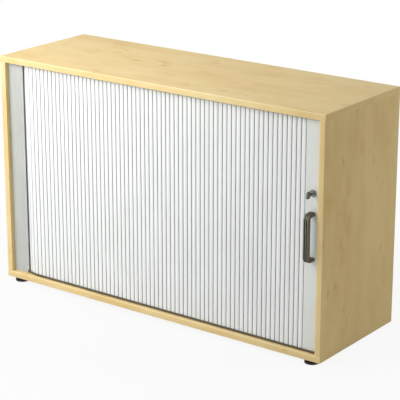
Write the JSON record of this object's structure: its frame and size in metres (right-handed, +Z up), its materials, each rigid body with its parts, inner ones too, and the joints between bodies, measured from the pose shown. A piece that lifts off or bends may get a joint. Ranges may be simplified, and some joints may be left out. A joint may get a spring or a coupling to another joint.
{
  "type": "tambour door cabinet",
  "caption": "Low office cupboard in pale wood board, closed by a sliding curtain of upright silver slats with a bow handle and a key lock, on levelling feet.",
  "frame": {"origin": "on the floor, below the middle of the bounding box", "axes": "+X along the width to the closing side, +Y from the front to the back, +Z up"},
  "size_m": [1.2, 0.4183, 0.743],
  "materials": {
    "maple_board": "pale maple melamine with matching edging",
    "inner_board": "light grey lacquered hardboard",
    "silver_slat": "satin silver plastic",
    "silver_rail": "satin silver",
    "dark_track": "dark grey-brown plastic",
    "gunmetal": "satin gunmetal",
    "bright_steel": "zinc plated",
    "black_plastic": "moulded black plastic"
  },
  "bodies": {
    "cabinet": {"top_panel": "maple_board", "bottom_panel": "maple_board", "left_side": "maple_board", "right_side": "maple_board", "back_panel": "maple_board", "inner_left_panel": "maple_board", "inner_back_panel": "inner_board", "shelf": "maple_board", "shelf_pin_1": "bright_steel", "shelf_pin_2": "bright_steel", "shelf_pin_3": "bright_steel", "shelf_pin_4": "bright_steel", "track_bottom": "dark_track", "track_top": "dark_track", "left_fascia": "silver_slat", "strike_plate": "bright_steel", "foot_socket_1": "black_plastic", "foot_socket_2": "black_plastic", "foot_socket_3": "black_plastic", "foot_socket_4": "black_plastic"},
    "door": {"closing_rail": "silver_rail", "handle_bow": "gunmetal", "handle_screw_1": "bright_steel", "handle_screw_2": "bright_steel", "lock_housing": "gunmetal", "curtain_strip_01": "silver_slat", "curtain_strip_02": "silver_slat", "curtain_strip_03": "silver_slat", "curtain_strip_04": "silver_slat", "curtain_strip_05": "silver_slat", "curtain_strip_06": "silver_slat", "curtain_strip_07": "silver_slat", "curtain_strip_08": "silver_slat", "curtain_strip_09": "silver_slat", "curtain_strip_10": "silver_slat", "curtain_strip_11": "silver_slat", "curtain_strip_12": "silver_slat", "curtain_strip_13": "silver_slat", "curtain_strip_14": "silver_slat", "curtain_strip_15": "silver_slat", "curtain_strip_16": "silver_slat", "curtain_strip_17": "silver_slat", "curtain_strip_18": "silver_slat", "curtain_strip_19": "silver_slat"},
    "lock_core": {"lock_plug": "bright_steel", "key": "gunmetal"},
    "lock_bolt": {"lock_bolt": "bright_steel"},
    "foot_1": {"foot_stem_1": "bright_steel", "foot_glide_1": "black_plastic"},
    "foot_2": {"foot_stem_2": "bright_steel", "foot_glide_2": "black_plastic"},
    "foot_3": {"foot_stem_3": "bright_steel", "foot_glide_3": "black_plastic"},
    "foot_4": {"foot_stem_4": "bright_steel", "foot_glide_4": "black_plastic"}
  },
  "joints": [
    {"name": "door_slide", "type": "slide", "parent": "cabinet", "child": "door", "axis": [-1, 0, 0], "range_m": [0, 0.9954], "deforming": ["curtain_strip_01", "curtain_strip_02", "curtain_strip_03", "curtain_strip_04", "curtain_strip_05", "curtain_strip_06", "curtain_strip_07", "curtain_strip_08", "curtain_strip_09", "curtain_strip_10", "curtain_strip_11", "curtain_strip_12", "curtain_strip_13", "curtain_strip_14", "curtain_strip_15", "curtain_strip_16", "curtain_strip_17", "curtain_strip_18", "curtain_strip_19"]},
    {"name": "lock_turn", "type": "hinge", "parent": "door", "child": "lock_core", "pos_m": [0.555, -0.1752, 0.509], "axis": [0, 1, 0], "range_deg": [0, 90]},
    {"name": "bolt_throw", "type": "slide", "parent": "door", "child": "lock_bolt", "axis": [1, 0, 0], "range_m": [0, 0.008]},
    {"name": "foot_1_level", "type": "slide", "parent": "cabinet", "child": "foot_1", "axis": [0, 0, -1], "range_m": [0, 0.01]},
    {"name": "foot_2_level", "type": "slide", "parent": "cabinet", "child": "foot_2", "axis": [0, 0, -1], "range_m": [0, 0.01]},
    {"name": "foot_3_level", "type": "slide", "parent": "cabinet", "child": "foot_3", "axis": [0, 0, -1], "range_m": [0, 0.01]},
    {"name": "foot_4_level", "type": "slide", "parent": "cabinet", "child": "foot_4", "axis": [0, 0, -1], "range_m": [0, 0.01]}
  ],
  "couplings": [
    {"joint": "bolt_throw", "follows": "lock_turn", "m_per_rad": 0.00509}
  ]
}
